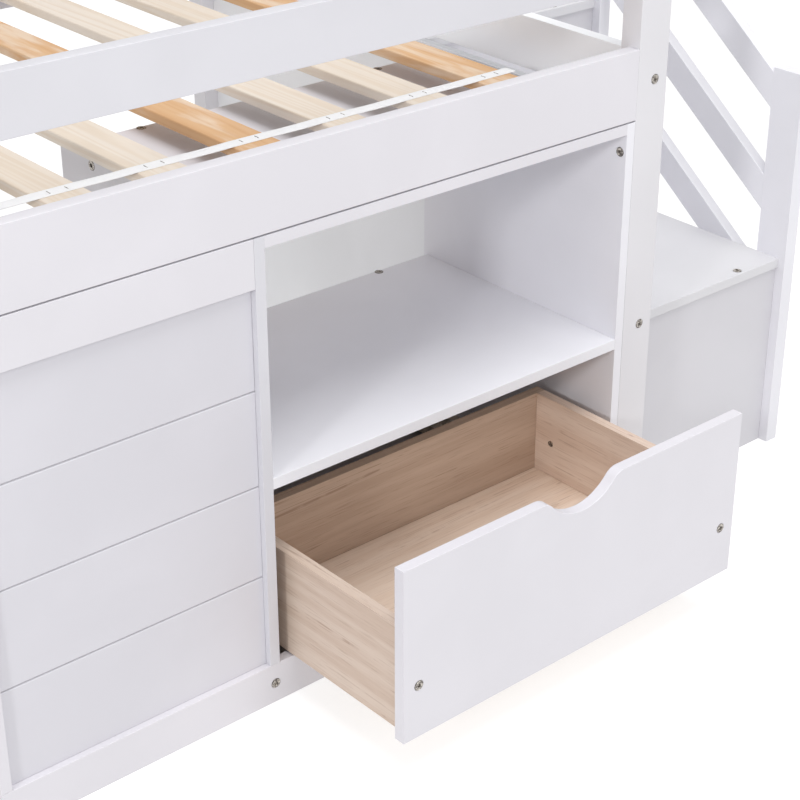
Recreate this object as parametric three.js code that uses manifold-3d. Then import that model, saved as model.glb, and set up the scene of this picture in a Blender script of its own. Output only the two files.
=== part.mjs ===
// Low loft bed with a stair at its right end, a cabinet with a shelf and a drawer
// under its front, and a grooved panel beside the cabinet. Sizes in millimetres.
// The bed's own places are measured from the left posts' outer face (x), the plane
// that all the front boards share (y, growing to the back) and the floor (z).
import * as THREE from 'three';
import { mergeVertices } from 'three/addons/utils/BufferGeometryUtils.js';
import Module from 'manifold-3d';

const wasm = await Module();
wasm.setup();

// Driving sizes of the bed frame
const bed = { railLength: 1920, depth: 1045 };
const post = { width: 57, depth: 34, height: 1100 };
const sideRail = { bottom: 654, height: 98, thickness: 20 };
const endBoard = { bottom: 665, height: 75, thickness: 20, centreFromInnerFace: 34 };
// The guard boards' gaps are shares of the height left free between the rail and the post tops.
const guard = { height: 70, thickness: 20, lowerGapShare: 0.4135, upperGapShare: 0.4327 };
const slat = {
  width: 60, thickness: 15, top: 690, count: 13, pitch: 138,
  firstRightEdge: 66, endGap: 2, warmEvery: 3,
};
// How far each slat has slid on its tape, as a share of the pitch, first slat at the right end.
const slatSlipShares = [
  0, 0.053, 0.036, 0.041, 0.028, 0.068, 0.05, 0.04, 0.06, 0.03, 0.05, 0.02, 0.03,
];
const ledger = { width: 24, height: 20 };
const tape = {
  width: 20, thickness: 1, fromFrontRail: 157, fromBackRail: 62, overhang: 11,
};

// Driving sizes of the cabinet, the base rail and the grooved panel beside it
const cabinet = {
  width: 637.6, depth: 412, panel: 15, top: 652, gapToPost: 0.4, backPanel: 9, backInset: 6,
  backRailHeight: 90,
};
const shelf = { bottom: 316, thickness: 16 };
const baseRail = { height: 59, thickness: 15 };
const bay = {
  panelWidth: 375, panelThickness: 12, panelInset: 9, stileThickness: 15, stileDepth: 90,
  headerBottom: 589, headerThickness: 15,
};
const groove = { width: 4, depth: 2, firstHeight: 191.5, pitch: 131, count: 3 };

// Driving sizes of the drawer
const drawer = {
  open: 240.5, sideClearance: 3.3, bottomClearance: 5, topClearance: 5,
  frontThickness: 16, boxThickness: 16, boxSideGap: 20, boxBottomClearance: 3, boxHeight: 151,
  boxLength: 357, floorThickness: 5, floorHeight: 19, grooveDepth: 5,
};
const fingerCut = { width: 146, depth: 33, shoulderRadius: 25, leftOfMiddle: 3 };
const runner = { ledgeHeight: 21, guideHeight: 36, sideGap: 0.8, underGap: 0.6, frontGap: 34 };

// Driving sizes of the stair at the right end
const stair = {
  board: 15, rise: 325, going: 425, width: 367, nosing: 4.5, frontInset: 46,
};
const newel = { thickness: 24, depth: 57, frontTop: 626 };
const handrail = { thickness: 20, faceHeight: 57, frontHeight: 618, pitch: 165.5, count: 3, slope: 0.765 };

// Driving sizes of the bolt holes, with a pocket for the head, and of the cross holes
// for the drawer's barrel nuts
const bolt = {
  headRadius: 7, headDepth: 2, shankRadius: 3, bite: 34, headSides: 12, shankSides: 8,
};
const nut = { radius: 5, wall: 2, fromEnd: 32, sides: 10 };
const boltHeight = {
  endBoard: 705, stairSide: 342, baseRail: 29, cabinetPost: 610, drawer: 140,
  railSpread: 50, newelLow: 80, newelHigh: 250,
};
const boltInset = {
  cabinetPost: 11.5, cabinetFront: 80, cabinetBack: 340, shelfBack: 4.5, shelfEnd: 101,
  treadInnerEnd: 60, treadOuterEnd: 87,
};
const clearance = 0.3;
const overrun = 1;

// Places that the sizes above lead to
const rightPostX = post.width + bed.railLength;
const frameLength = rightPostX + post.width;
const railInside = sideRail.thickness;
const sideRailTop = sideRail.bottom + sideRail.height;
const guardFree = post.height - sideRailTop - guard.height - guard.height;
const lowerGuardBottom = sideRailTop + guard.lowerGapShare * guardFree;
const upperGuardBottom = lowerGuardBottom + guard.height + guard.upperGapShare * guardFree;
const slatBottom = slat.top - slat.thickness;
const boltLineX = rightPostX + endBoard.centreFromInnerFace;
const leftBoltLineX = post.width - endBoard.centreFromInnerFace;

const cabinetRight = rightPostX - cabinet.gapToPost;
const cabinetLeft = cabinetRight - cabinet.width;
const openingLeft = cabinetLeft + cabinet.panel;
const openingRight = cabinetRight - cabinet.panel;
const openingMiddle = (openingLeft + openingRight) / 2;
const cabinetInnerBack = cabinet.depth - cabinet.backInset;
const shelfTop = shelf.bottom + shelf.thickness;
const cabinetTopBottom = cabinet.top - cabinet.panel;
const bayRight = cabinetLeft;
const bayLeft = bayRight - bay.panelWidth;
const stileLeft = bayLeft - bay.stileThickness;

const stairLeft = boltLineX + stair.board / 2;
const stairRight = stairLeft + stair.width;
const overallLength = stairRight + newel.thickness;
const landingHeight = stair.rise + stair.rise;
const riserFace = stair.frontInset + stair.nosing;
const secondRiserFace = riserFace + stair.going;
const stairBack = bed.depth - post.depth;

const drawerFrontFace = -drawer.open;
const drawerBoxFront = drawerFrontFace + drawer.frontThickness;
const drawerBoxBack = drawerBoxFront + drawer.boxLength;
const drawerLeft = openingLeft + drawer.sideClearance;
const drawerRight = openingRight - drawer.sideClearance;
const drawerBottom = baseRail.height + drawer.bottomClearance;
const drawerTop = shelf.bottom - drawer.topClearance;
const boxLeft = openingLeft + drawer.boxSideGap;
const boxRight = openingRight - drawer.boxSideGap;
const boxBottom = baseRail.height + drawer.boxBottomClearance;
const boxTop = boxBottom + drawer.boxHeight;
const floorBottom = boxBottom + drawer.floorHeight;

// Finishes
const whitePaint = { color: 0xe4e2e6, roughness: 0.45, metalness: 0 };
const oakFace = { color: 0xc9a98d, roughness: 0.6, metalness: 0 };
const palePine = { color: 0xecdcc8, roughness: 0.7, metalness: 0 };
const warmPine = { color: 0xe3b98a, roughness: 0.7, metalness: 0 };
const whiteTape = { color: 0xeeeef0, roughness: 0.9, metalness: 0 };

const loftBed = new THREE.Group();
const pieces = [];
const holes = [];

// A closed solid from a three.js geometry, with only its shared corner points.
function solidOf(geometry) {
  geometry.deleteAttribute('normal');
  geometry.deleteAttribute('uv');
  const merged = mergeVertices(geometry);
  const vertProperties = new Float32Array(merged.attributes.position.array);
  const triVerts = new Uint32Array(merged.index.array);
  return new wasm.Manifold(new wasm.Mesh({ numProp: 3, vertProperties, triVerts }));
}

// A board between two corners.
function board(low, high) {
  const size = high.map((value, axis) => value - low[axis]);
  const geometry = new THREE.BoxGeometry(...size);
  geometry.translate(...low.map((value, axis) => value + size[axis] / 2));
  return solidOf(geometry);
}

// A profile drawn square to the named axis and carried along it. The profile's own
// axes are y and z for x, x and z for y.
function profileAlong(axis, points, from, to) {
  const outline = points instanceof THREE.Shape ? points : new THREE.Shape(points);
  const settings = { depth: to - from, bevelEnabled: false, curveSegments: 10 };
  const geometry = new THREE.ExtrudeGeometry(outline, settings);
  const x = new THREE.Vector3(1, 0, 0);
  const y = new THREE.Vector3(0, 1, 0);
  const z = new THREE.Vector3(0, 0, 1);
  const turn = new THREE.Matrix4();
  if (axis === 'x') {
    turn.makeBasis(y, z, x).setPosition(from, 0, 0);
  } else {
    turn.makeBasis(x, z, y.negate()).setPosition(0, to, 0);
  }
  geometry.applyMatrix4(turn);
  return solidOf(geometry);
}

// A round bar from a point along a direction.
function roundBar(start, direction, length, radius, sides) {
  const along = new THREE.Vector3(...direction);
  const up = new THREE.Vector3(0, 1, 0);
  const geometry = new THREE.CylinderGeometry(radius, radius, length, sides);
  geometry.applyQuaternion(new THREE.Quaternion().setFromUnitVectors(up, along));
  const middle = new THREE.Vector3(...start).addScaledVector(along, length / 2);
  geometry.translate(middle.x, middle.y, middle.z);
  return solidOf(geometry);
}

function add(name, solid, finish) {
  pieces.push({ name, solid, finish });
}

// Notes a bolt hole: its head lies in a pocket at the point, and its shank runs along
// the direction, through the first board and a bite into the next.
function boltAt(point, direction, through) {
  const along = new THREE.Vector3(...direction);
  const start = new THREE.Vector3(...point).addScaledVector(along, -overrun).toArray();
  const depth = overrun + bolt.headDepth;
  const pocket = roundBar(start, direction, depth, bolt.headRadius, bolt.headSides);
  const length = overrun + through + bolt.bite;
  const shank = roundBar(start, direction, length, bolt.shankRadius, bolt.shankSides);
  holes.push(pocket.add(shank));
}

function boxesMeet(first, second) {
  const meet = (axis) => first.min[axis] < second.max[axis] && second.min[axis] < first.max[axis];
  return [0, 1, 2].every(meet);
}

// Cuts a tool out of every piece that it reaches.
function cutFromAll(tool) {
  const reach = tool.boundingBox();
  for (const piece of pieces) {
    if (boxesMeet(reach, piece.solid.boundingBox())) {
      piece.solid = piece.solid.subtract(tool);
    }
  }
}

// Four posts, with the wide side to the front
function makePosts() {
  const places = { left: 0, right: rightPostX };
  for (const [side, x] of Object.entries(places)) {
    const frontCorner = [x + post.width, post.depth, post.height];
    const backCorner = [x + post.width, bed.depth, post.height];
    add(`front_${side}_post`, board([x, 0, 0], frontCorner), whitePaint);
    add(`back_${side}_post`, board([x, bed.depth - post.depth, 0], backCorner), whitePaint);
  }
}

// Side rails and guard boards lie between the posts, flush with their outer faces.
function makeLongBoards() {
  const rows = [
    ['side_rail', sideRail.bottom, sideRail.height, sideRail.thickness],
    ['lower_guard', lowerGuardBottom, guard.height, guard.thickness],
    ['upper_guard', upperGuardBottom, guard.height, guard.thickness],
  ];
  for (const [kind, bottom, height, thickness] of rows) {
    const top = bottom + height;
    const middle = bottom + height / 2;
    add(`front_${kind}`, board([post.width, 0, bottom], [rightPostX, thickness, top]), whitePaint);
    const backLow = [post.width, bed.depth - thickness, bottom];
    add(`back_${kind}`, board(backLow, [rightPostX, bed.depth, top]), whitePaint);
    const spread = boltHeight.railSpread / 2;
    const heights = kind === 'side_rail' ? [middle - spread, middle + spread] : [middle];
    for (const z of heights) {
      for (const y of [thickness / 2, bed.depth - thickness / 2]) {
        boltAt([0, y, z], [1, 0, 0], post.width);
        boltAt([frameLength, y, z], [-1, 0, 0], post.width);
      }
    }
  }
}

// Boards across the two ends, on the line of the bolts that pass through the posts.
function makeEndBoards() {
  const half = guard.height / 2;
  const rows = [
    ['right_end_board', boltLineX, endBoard.bottom, endBoard.height, boltHeight.endBoard],
    ['left_end_board', leftBoltLineX, endBoard.bottom, endBoard.height, boltHeight.endBoard],
    ['left_end_lower_guard', leftBoltLineX, lowerGuardBottom, guard.height, lowerGuardBottom + half],
    ['left_end_upper_guard', leftBoltLineX, upperGuardBottom, guard.height, upperGuardBottom + half],
  ];
  for (const [name, x, bottom, height, boltZ] of rows) {
    const low = [x - endBoard.thickness / 2, post.depth, bottom];
    const high = [x + endBoard.thickness / 2, bed.depth - post.depth, bottom + height];
    add(name, board(low, high), whitePaint);
    boltAt([x, 0, boltZ], [0, 1, 0], post.depth);
    boltAt([x, bed.depth, boltZ], [0, -1, 0], post.depth);
  }
}

// Ledgers on the rails' inner faces carry the slats; two tapes keep the slats apart.
function makeSlatBase() {
  const inside = bed.depth - railInside;
  const frontLow = [post.width, railInside, slatBottom - ledger.height];
  const frontHigh = [rightPostX, railInside + ledger.width, slatBottom];
  add('front_slat_ledger', board(frontLow, frontHigh), whitePaint);
  const backLow = [post.width, inside - ledger.width, slatBottom - ledger.height];
  add('back_slat_ledger', board(backLow, [rightPostX, inside, slatBottom]), whitePaint);
  for (let index = 0; index < slat.count; index += 1) {
    const slip = (slatSlipShares[index] ?? 0) * slat.pitch;
    const right = rightPostX - slat.firstRightEdge - index * slat.pitch + slip;
    const low = [right - slat.width, railInside + slat.endGap, slatBottom];
    const high = [right, inside - slat.endGap, slat.top];
    const finish = index % slat.warmEvery === 0 ? warmPine : palePine;
    add(`slat_${String(index + 1).padStart(2, '0')}`, board(low, high), finish);
  }
  const tapeRight = rightPostX - slat.firstRightEdge + tape.overhang;
  const reach = slat.width + (slat.count - 1) * slat.pitch + 2 * tape.overhang;
  const frontTape = railInside + tape.fromFrontRail;
  const backTape = inside - tape.fromBackRail - tape.width;
  for (const [side, y] of [['front', frontTape], ['back', backTape]]) {
    const high = [tapeRight, y + tape.width, slat.top + tape.thickness];
    add(`${side}_slat_tape`, board([tapeRight - reach, y, slat.top], high), whiteTape);
  }
}

// The cabinet's sides are notched at their front feet, round the base rail.
function makeCabinet() {
  const sides = [['cabinet_left_side', cabinetLeft], ['cabinet_right_side', openingRight]];
  for (const [name, x] of sides) {
    const notched = [
      new THREE.Vector2(baseRail.thickness, 0),
      new THREE.Vector2(cabinet.depth, 0),
      new THREE.Vector2(cabinet.depth, cabinet.top),
      new THREE.Vector2(0, cabinet.top),
      new THREE.Vector2(0, baseRail.height),
      new THREE.Vector2(baseRail.thickness, baseRail.height),
    ];
    add(name, profileAlong('x', notched, x, x + cabinet.panel), whitePaint);
  }
  const topHigh = [openingRight, cabinetInnerBack, cabinet.top];
  add('cabinet_top', board([openingLeft, 0, cabinetTopBottom], topHigh), whitePaint);
  const shelfHigh = [openingRight, cabinetInnerBack, shelfTop];
  add('cabinet_shelf', board([openingLeft, 0, shelf.bottom], shelfHigh), whitePaint);
  const backFace = cabinetInnerBack - cabinet.backPanel;
  const backHigh = [openingRight, cabinetInnerBack, shelf.bottom];
  add('cabinet_lower_back', board([openingLeft, backFace, 0], backHigh), whitePaint);
  const railLow = [openingLeft, backFace, cabinetTopBottom - cabinet.backRailHeight];
  add('cabinet_back_rail', board(railLow, [openingRight, cabinetInnerBack, cabinetTopBottom]), whitePaint);
  boltCabinet();
}

function boltCabinet() {
  const heights = [shelf.bottom + shelf.thickness / 2, cabinet.top - cabinet.panel / 2];
  for (const middle of heights) {
    for (const y of [boltInset.cabinetFront, boltInset.cabinetBack]) {
      boltAt([cabinetLeft, y, middle], [1, 0, 0], cabinet.panel);
      boltAt([cabinetRight, y, middle], [-1, 0, 0], cabinet.panel);
    }
  }
  const backLine = cabinetInnerBack - boltInset.shelfBack;
  for (const x of [openingLeft + boltInset.shelfEnd, openingRight - boltInset.shelfEnd]) {
    boltAt([x, backLine, shelfTop], [0, 0, -1], shelf.thickness);
    boltAt([x, backLine, cabinet.top], [0, 0, -1], cabinet.panel);
  }
  const reach = cabinet.panel + cabinet.gapToPost;
  boltAt([openingRight, boltInset.cabinetPost, boltHeight.cabinetPost], [1, 0, 0], reach);
}

// The base rail runs under the drawer and the grooved panel, up to the right post.
function makeBay() {
  const railHigh = [rightPostX, baseRail.thickness, baseRail.height];
  add('base_rail', board([stileLeft, 0, 0], railHigh), whitePaint);
  const stile = [
    new THREE.Vector2(baseRail.thickness, 0),
    new THREE.Vector2(bay.stileDepth, 0),
    new THREE.Vector2(bay.stileDepth, cabinet.top),
    new THREE.Vector2(0, cabinet.top),
    new THREE.Vector2(0, baseRail.height),
    new THREE.Vector2(baseRail.thickness, baseRail.height),
  ];
  add('bay_stile', profileAlong('x', stile, stileLeft, bayLeft), whitePaint);
  const headerHigh = [bayRight, bay.headerThickness, cabinet.top];
  add('bay_header', board([bayLeft, 0, bay.headerBottom], headerHigh), whitePaint);
  add('grooved_panel', profileAlong('x', groovedOutline(), bayLeft, bayRight), whitePaint);
  const half = cabinet.panel / 2;
  const seats = [stileLeft + bay.stileThickness / 2, cabinetLeft + half, cabinetRight - half];
  for (const x of seats) {
    boltAt([x, 0, boltHeight.baseRail], [0, 1, 0], baseRail.thickness);
  }
}

// The panel's section: a flat board whose front has one V groove at each board line.
function groovedOutline() {
  const front = bay.panelInset;
  const back = front + bay.panelThickness;
  const points = [
    new THREE.Vector2(back, baseRail.height),
    new THREE.Vector2(back, bay.headerBottom),
    new THREE.Vector2(front, bay.headerBottom),
  ];
  for (let index = groove.count - 1; index >= 0; index -= 1) {
    const z = groove.firstHeight + index * groove.pitch;
    points.push(new THREE.Vector2(front, z + groove.width / 2));
    points.push(new THREE.Vector2(front + groove.depth, z));
    points.push(new THREE.Vector2(front, z - groove.width / 2));
  }
  points.push(new THREE.Vector2(front, baseRail.height));
  return points;
}

// The drawer front's top edge dips in a round finger cut: one wide arc at the bottom,
// which two shoulder arcs join to the straight edge without a corner.
function drawerFrontOutline() {
  const middle = openingMiddle - fingerCut.leftOfMiddle;
  const half = fingerCut.width / 2;
  const bothRadii = (half * half + fingerCut.depth * fingerCut.depth) / (2 * fingerCut.depth);
  const bottomRadius = bothRadii - fingerCut.shoulderRadius;
  const middleZ = drawerTop - fingerCut.depth + bottomRadius;
  const lean = Math.asin(half / bothRadii);
  const up = Math.PI / 2;
  const shoulderZ = drawerTop - fingerCut.shoulderRadius;
  const outline = new THREE.Shape();
  outline.moveTo(drawerLeft, drawerBottom);
  outline.lineTo(drawerRight, drawerBottom);
  outline.lineTo(drawerRight, drawerTop);
  outline.lineTo(middle + half, drawerTop);
  outline.absarc(middle + half, shoulderZ, fingerCut.shoulderRadius, up, up + lean, false);
  outline.absarc(middle, middleZ, bottomRadius, -up + lean, -up - lean, true);
  outline.absarc(middle - half, shoulderZ, fingerCut.shoulderRadius, up - lean, up, false);
  outline.lineTo(drawerLeft, drawerTop);
  return outline;
}

function makeDrawer() {
  const wall = drawer.boxThickness;
  const innerLeft = boxLeft + wall;
  const innerRight = boxRight - wall;
  const backFace = drawerBoxBack - wall;
  const front = profileAlong('y', drawerFrontOutline(), drawerFrontFace, drawerBoxFront);
  add('drawer_front', front, whitePaint);
  const leftLow = [boxLeft, drawerBoxFront, boxBottom];
  add('drawer_left_side', board(leftLow, [innerLeft, backFace, boxTop]), oakFace);
  const rightLow = [innerRight, drawerBoxFront, boxBottom];
  add('drawer_right_side', board(rightLow, [boxRight, backFace, boxTop]), oakFace);
  add('drawer_back', board([boxLeft, backFace, boxBottom], [boxRight, drawerBoxBack, boxTop]), oakFace);
  const floorLow = [innerLeft - drawer.grooveDepth, drawerBoxFront - drawer.grooveDepth, floorBottom];
  const floorHigh = [
    innerRight + drawer.grooveDepth,
    backFace + drawer.grooveDepth,
    floorBottom + drawer.floorThickness,
  ];
  const grooveLow = floorLow.map((value) => value - clearance);
  const grooveHigh = floorHigh.map((value) => value + clearance);
  cutFromAll(board(grooveLow, grooveHigh));
  add('drawer_floor', board(floorLow, floorHigh), oakFace);
  for (const [x, inward] of [[boxLeft + wall / 2, 1], [boxRight - wall / 2, -1]]) {
    boltAt([x, drawerFrontFace, boltHeight.drawer], [0, 1, 0], drawer.frontThickness);
    boltAt([x, drawerBoxBack, boltHeight.drawer], [0, -1, 0], wall);
    barrelNutHole(x, inward, drawerBoxFront + nut.fromEnd);
    barrelNutHole(x, inward, backFace - nut.fromEnd);
  }
}

// A barrel nut's cross hole opens to the drawer's inside.
function barrelNutHole(middle, inward, y) {
  const face = middle + inward * drawer.boxThickness / 2;
  const start = [face + inward * overrun, y, boltHeight.drawer];
  const depth = overrun + drawer.boxThickness - nut.wall;
  holes.push(roundBar(start, [-inward, 0, 0], depth, nut.radius, nut.sides));
}

// Each runner is an angle: a ledge under the drawer's side and a guide beside it.
function makeRunners() {
  const front = drawer.frontThickness + runner.frontGap;
  const back = cabinetInnerBack - cabinet.backPanel;
  const ledgeTop = boxBottom - runner.underGap;
  const bottom = ledgeTop - runner.ledgeHeight;
  const guideTop = bottom + runner.guideHeight;
  const guideWidth = drawer.boxSideGap - runner.sideGap;
  const ledgeWidth = drawer.boxSideGap + drawer.boxThickness;
  for (const [side, wall, inward] of [['left', openingLeft, 1], ['right', openingRight, -1]]) {
    const outline = [
      new THREE.Vector2(wall, bottom),
      new THREE.Vector2(wall + inward * ledgeWidth, bottom),
      new THREE.Vector2(wall + inward * ledgeWidth, ledgeTop),
      new THREE.Vector2(wall + inward * guideWidth, ledgeTop),
      new THREE.Vector2(wall + inward * guideWidth, guideTop),
      new THREE.Vector2(wall, guideTop),
    ];
    add(`drawer_runner_${side}`, profileAlong('y', outline, front, back), palePine);
  }
}

// Two risers and two side boards carry the lower tread and the landing.
function makeStair() {
  const treadBottom = stair.rise - stair.board;
  const landingBottom = landingHeight - stair.board;
  const sideLow = [stairLeft - stair.board, post.depth, 0];
  add('stair_inner_side', board(sideLow, [stairLeft, stairBack, landingHeight]), whitePaint);
  const outerLeft = stairRight - stair.board;
  const stepped = [
    new THREE.Vector2(riserFace + stair.board, 0),
    new THREE.Vector2(stairBack, 0),
    new THREE.Vector2(stairBack, landingBottom),
    new THREE.Vector2(secondRiserFace + stair.board, landingBottom),
    new THREE.Vector2(secondRiserFace + stair.board, treadBottom),
    new THREE.Vector2(riserFace + stair.board, treadBottom),
  ];
  add('stair_outer_side', profileAlong('x', stepped, outerLeft, stairRight), whitePaint);
  const riserHigh = [stairRight, riserFace + stair.board, treadBottom];
  add('stair_lower_riser', board([stairLeft, riserFace, 0], riserHigh), whitePaint);
  const upperLow = [stairLeft, secondRiserFace, treadBottom];
  const upperHigh = [stairRight, secondRiserFace + stair.board, landingBottom];
  add('stair_upper_riser', board(upperLow, upperHigh), whitePaint);
  const treadLow = [stairLeft, stair.frontInset, treadBottom];
  const treadHigh = [stairRight, secondRiserFace, stair.rise];
  add('stair_lower_tread', board(treadLow, treadHigh), whitePaint);
  const landingLow = [stairLeft, secondRiserFace - stair.nosing, landingBottom];
  add('stair_landing', board(landingLow, [stairRight, stairBack, landingHeight]), whitePaint);
  boltStair();
}

function boltStair() {
  boltAt([boltLineX, 0, boltHeight.stairSide], [0, 1, 0], post.depth);
  boltAt([boltLineX, bed.depth, boltHeight.stairSide], [0, -1, 0], post.depth);
  for (const x of [stairLeft + boltInset.treadInnerEnd, stairRight - boltInset.treadOuterEnd]) {
    for (const [face, top] of [[riserFace, stair.rise], [secondRiserFace, landingHeight]]) {
      boltAt([x, face + stair.board / 2, top], [0, 0, -1], stair.board);
    }
  }
}

// Two newels on the stair's outer side, with slanted rails cut to fit between them.
function makeHandrail() {
  const outer = stairRight + newel.thickness;
  const rearTop = newel.frontTop + stair.rise;
  const rearFront = post.depth + stair.going;
  const frontBack = post.depth + newel.depth;
  const frontHigh = [outer, frontBack, newel.frontTop];
  add('front_newel', board([stairRight, post.depth, 0], frontHigh), whitePaint);
  const rearHigh = [outer, rearFront + newel.depth, rearTop];
  add('rear_newel', board([stairRight, rearFront, 0], rearHigh), whitePaint);
  for (let index = 0; index < handrail.count; index += 1) {
    const upper = handrail.frontHeight - index * handrail.pitch;
    const outline = slantedOutline(upper, frontBack, rearFront);
    const names = ['upper', 'middle', 'lower'];
    const right = stairRight + handrail.thickness;
    add(`${names[index]}_handrail`, profileAlong('x', outline, stairRight, right), whitePaint);
  }
  const frontBolt = (riserFace + stair.board + frontBack) / 2;
  for (const y of [frontBolt, rearFront + newel.depth / 2]) {
    for (const z of [boltHeight.newelLow, boltHeight.newelHigh]) {
      const length = stair.board / 2 - bolt.bite + newel.thickness;
      boltAt([outer, y, z], [-1, 0, 0], length);
    }
  }
}

// One slanted rail seen from the side, with upright cuts against the newels.
function slantedOutline(upper, from, to) {
  const rise = handrail.slope * (to - from);
  const lower = upper - handrail.faceHeight;
  return [
    new THREE.Vector2(to, lower + rise),
    new THREE.Vector2(to, upper + rise),
    new THREE.Vector2(from, upper),
    new THREE.Vector2(from, lower),
  ];
}

function meshOf({ name, solid, finish }) {
  const { vertProperties, triVerts } = solid.getMesh();
  const points = new THREE.BufferAttribute(new Float32Array(vertProperties), 3);
  const geometry = new THREE.BufferGeometry();
  geometry.setAttribute('position', points);
  geometry.setIndex(new THREE.BufferAttribute(new Uint32Array(triVerts), 1));
  geometry.computeVertexNormals();
  const mesh = new THREE.Mesh(geometry, new THREE.MeshStandardMaterial(finish));
  mesh.name = name;
  return mesh;
}

makePosts();
makeLongBoards();
makeEndBoards();
makeSlatBase();
makeCabinet();
makeBay();
makeStair();
makeHandrail();
makeDrawer();
makeRunners();
holes.forEach(cutFromAll);

// The origin is on the floor in the middle of the footprint, drawer and stair included.
const middleY = (drawerFrontFace + bed.depth) / 2;
loftBed.position.set(-overallLength / 2, -middleY, 0);
for (const piece of pieces) {
  loftBed.add(meshOf(piece));
}

export default loftBed;
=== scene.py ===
"""Looks of a low loft bed: painted boards, pine slats on woven tapes, an oak-faced
drawer that slides, a stair with slanted handrails, and aged brass bolts."""

import logging
import math
from dataclasses import dataclass, field
from enum import Enum
from typing import ClassVar, NamedTuple, Sequence

import bmesh
import bpy
import numpy as np
from mathutils import Matrix


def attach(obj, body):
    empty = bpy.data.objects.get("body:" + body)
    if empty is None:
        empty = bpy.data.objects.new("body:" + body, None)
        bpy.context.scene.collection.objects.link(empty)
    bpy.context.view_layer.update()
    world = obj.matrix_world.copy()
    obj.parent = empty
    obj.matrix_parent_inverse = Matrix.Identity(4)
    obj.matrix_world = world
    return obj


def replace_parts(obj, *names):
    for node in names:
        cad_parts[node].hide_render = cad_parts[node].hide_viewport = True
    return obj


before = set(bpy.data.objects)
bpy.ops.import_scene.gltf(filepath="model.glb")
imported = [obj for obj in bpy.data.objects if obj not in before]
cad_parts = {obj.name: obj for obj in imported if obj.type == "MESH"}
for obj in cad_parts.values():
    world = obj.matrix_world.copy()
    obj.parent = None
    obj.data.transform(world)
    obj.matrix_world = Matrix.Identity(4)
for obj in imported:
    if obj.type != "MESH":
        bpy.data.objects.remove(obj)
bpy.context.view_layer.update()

LOG = logging.getLogger("loft_bed")
MM = 0.001
BED_ORIGIN = (1204.75, 402.25, 0.0)
IMAGE_SIDE = 800.0
SHARP_EDGE = math.radians(35)
EASED_EDGE = math.radians(50)
FLAT_JOINT = math.radians(0.5)
SLIVER = 0.02 * MM
KEPT_DECIMALS = 6
NEARLY_UP = 0.99
MIX_COLOURS = (6, 7)
MIX_RESULT = 2

Colour = tuple[float, float, float]
Point = tuple[float, float, float]
Span = tuple[float, float]
Seat = tuple[Point, Point]

LEFT = (-1.0, 0.0, 0.0)
RIGHT = (1.0, 0.0, 0.0)
FRONT = (0.0, -1.0, 0.0)
BACK = (0.0, 1.0, 0.0)
UP = (0.0, 0.0, 1.0)


class Body(Enum):
    """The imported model's bodies."""

    FRAME = "frame"
    DRAWER = "drawer"


class Slot(Enum):
    """The record's material slots."""

    WHITE = "white_board"
    OAK = "oak_board"
    WARM_PINE = "warm_pine"
    PALE_PINE = "pale_pine"
    TAPE = "white_tape"
    BRASS = "aged_brass"


class Grain(Enum):
    """The axis that a board's grain runs along, as stretch factors for the pattern."""

    ALONG_X = (0.03, 1.0, 1.0)
    ALONG_Y = (1.0, 0.03, 1.0)


class Drive(Enum):
    """The recess in a fastener's head."""

    HEX = "hex"
    SLOT = "slot"


def bed_to_frame(points: np.ndarray) -> np.ndarray:
    """Turns places on the bed's own axes into places in the row frame.

    The bed's axes start at the left posts' outer face, the front boards' plane and the
    floor. Place in metres = (place in millimetres - origin) / 1000.

    Args:
        points: Places in millimetres, with x, y and z last.

    Returns:
        The same places in metres.
    """
    return (np.asarray(points, float) - np.array(BED_ORIGIN)) * MM


# Shader maths


class Shade:
    """One output socket, on which Python's operators add Math nodes."""

    def __init__(self, tree: "NodeTree", socket: bpy.types.NodeSocket) -> None:
        """Wraps a socket of the tree."""
        self.tree = tree
        self.socket = socket

    def _math(self, operation: str, first: object, second: object) -> "Shade":
        """Adds a Math node of the operation on two values or sockets."""
        values = {0: first, 1: second}
        return self.tree.node("ShaderNodeMath", values, operation=operation)

    def __add__(self, other: object) -> "Shade":
        """Sum."""
        return self._math("ADD", self, other)

    def __sub__(self, other: object) -> "Shade":
        """Difference."""
        return self._math("SUBTRACT", self, other)

    def __rsub__(self, other: object) -> "Shade":
        """Difference, with the value first."""
        return self._math("SUBTRACT", other, self)

    def __mul__(self, other: object) -> "Shade":
        """Product."""
        return self._math("MULTIPLY", self, other)

    def __pow__(self, other: object) -> "Shade":
        """Power."""
        return self._math("POWER", self, other)

    __radd__ = __add__
    __rmul__ = __mul__

    def sine(self) -> "Shade":
        """Sine of the value in radians."""
        return self._math("SINE", self, 0.0)

    def largest(self, other: object) -> "Shade":
        """The larger of two values."""
        return self._math("MAXIMUM", self, other)

    def between(self, low: float, high: float) -> "Shade":
        """0 at low and below, 1 at high and above, smooth between them."""
        values = {0: self, 1: low, 2: high}
        return self.tree.node("ShaderNodeMapRange", values, interpolation_type="SMOOTHSTEP")


class Pattern(NamedTuple):
    """A smooth noise: features per unit, finer octaves, and how far it bends itself."""

    scale: float
    detail: float = 2.0
    distortion: float = 0.0


class Layer(NamedTuple):
    """A share of a colour laid on in the patches of a noise.

    The share is 0 where the noise is below the edge's first value, and the strength
    where it is above the second.
    """

    pattern: Pattern
    edge: Span
    strength: float


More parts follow.
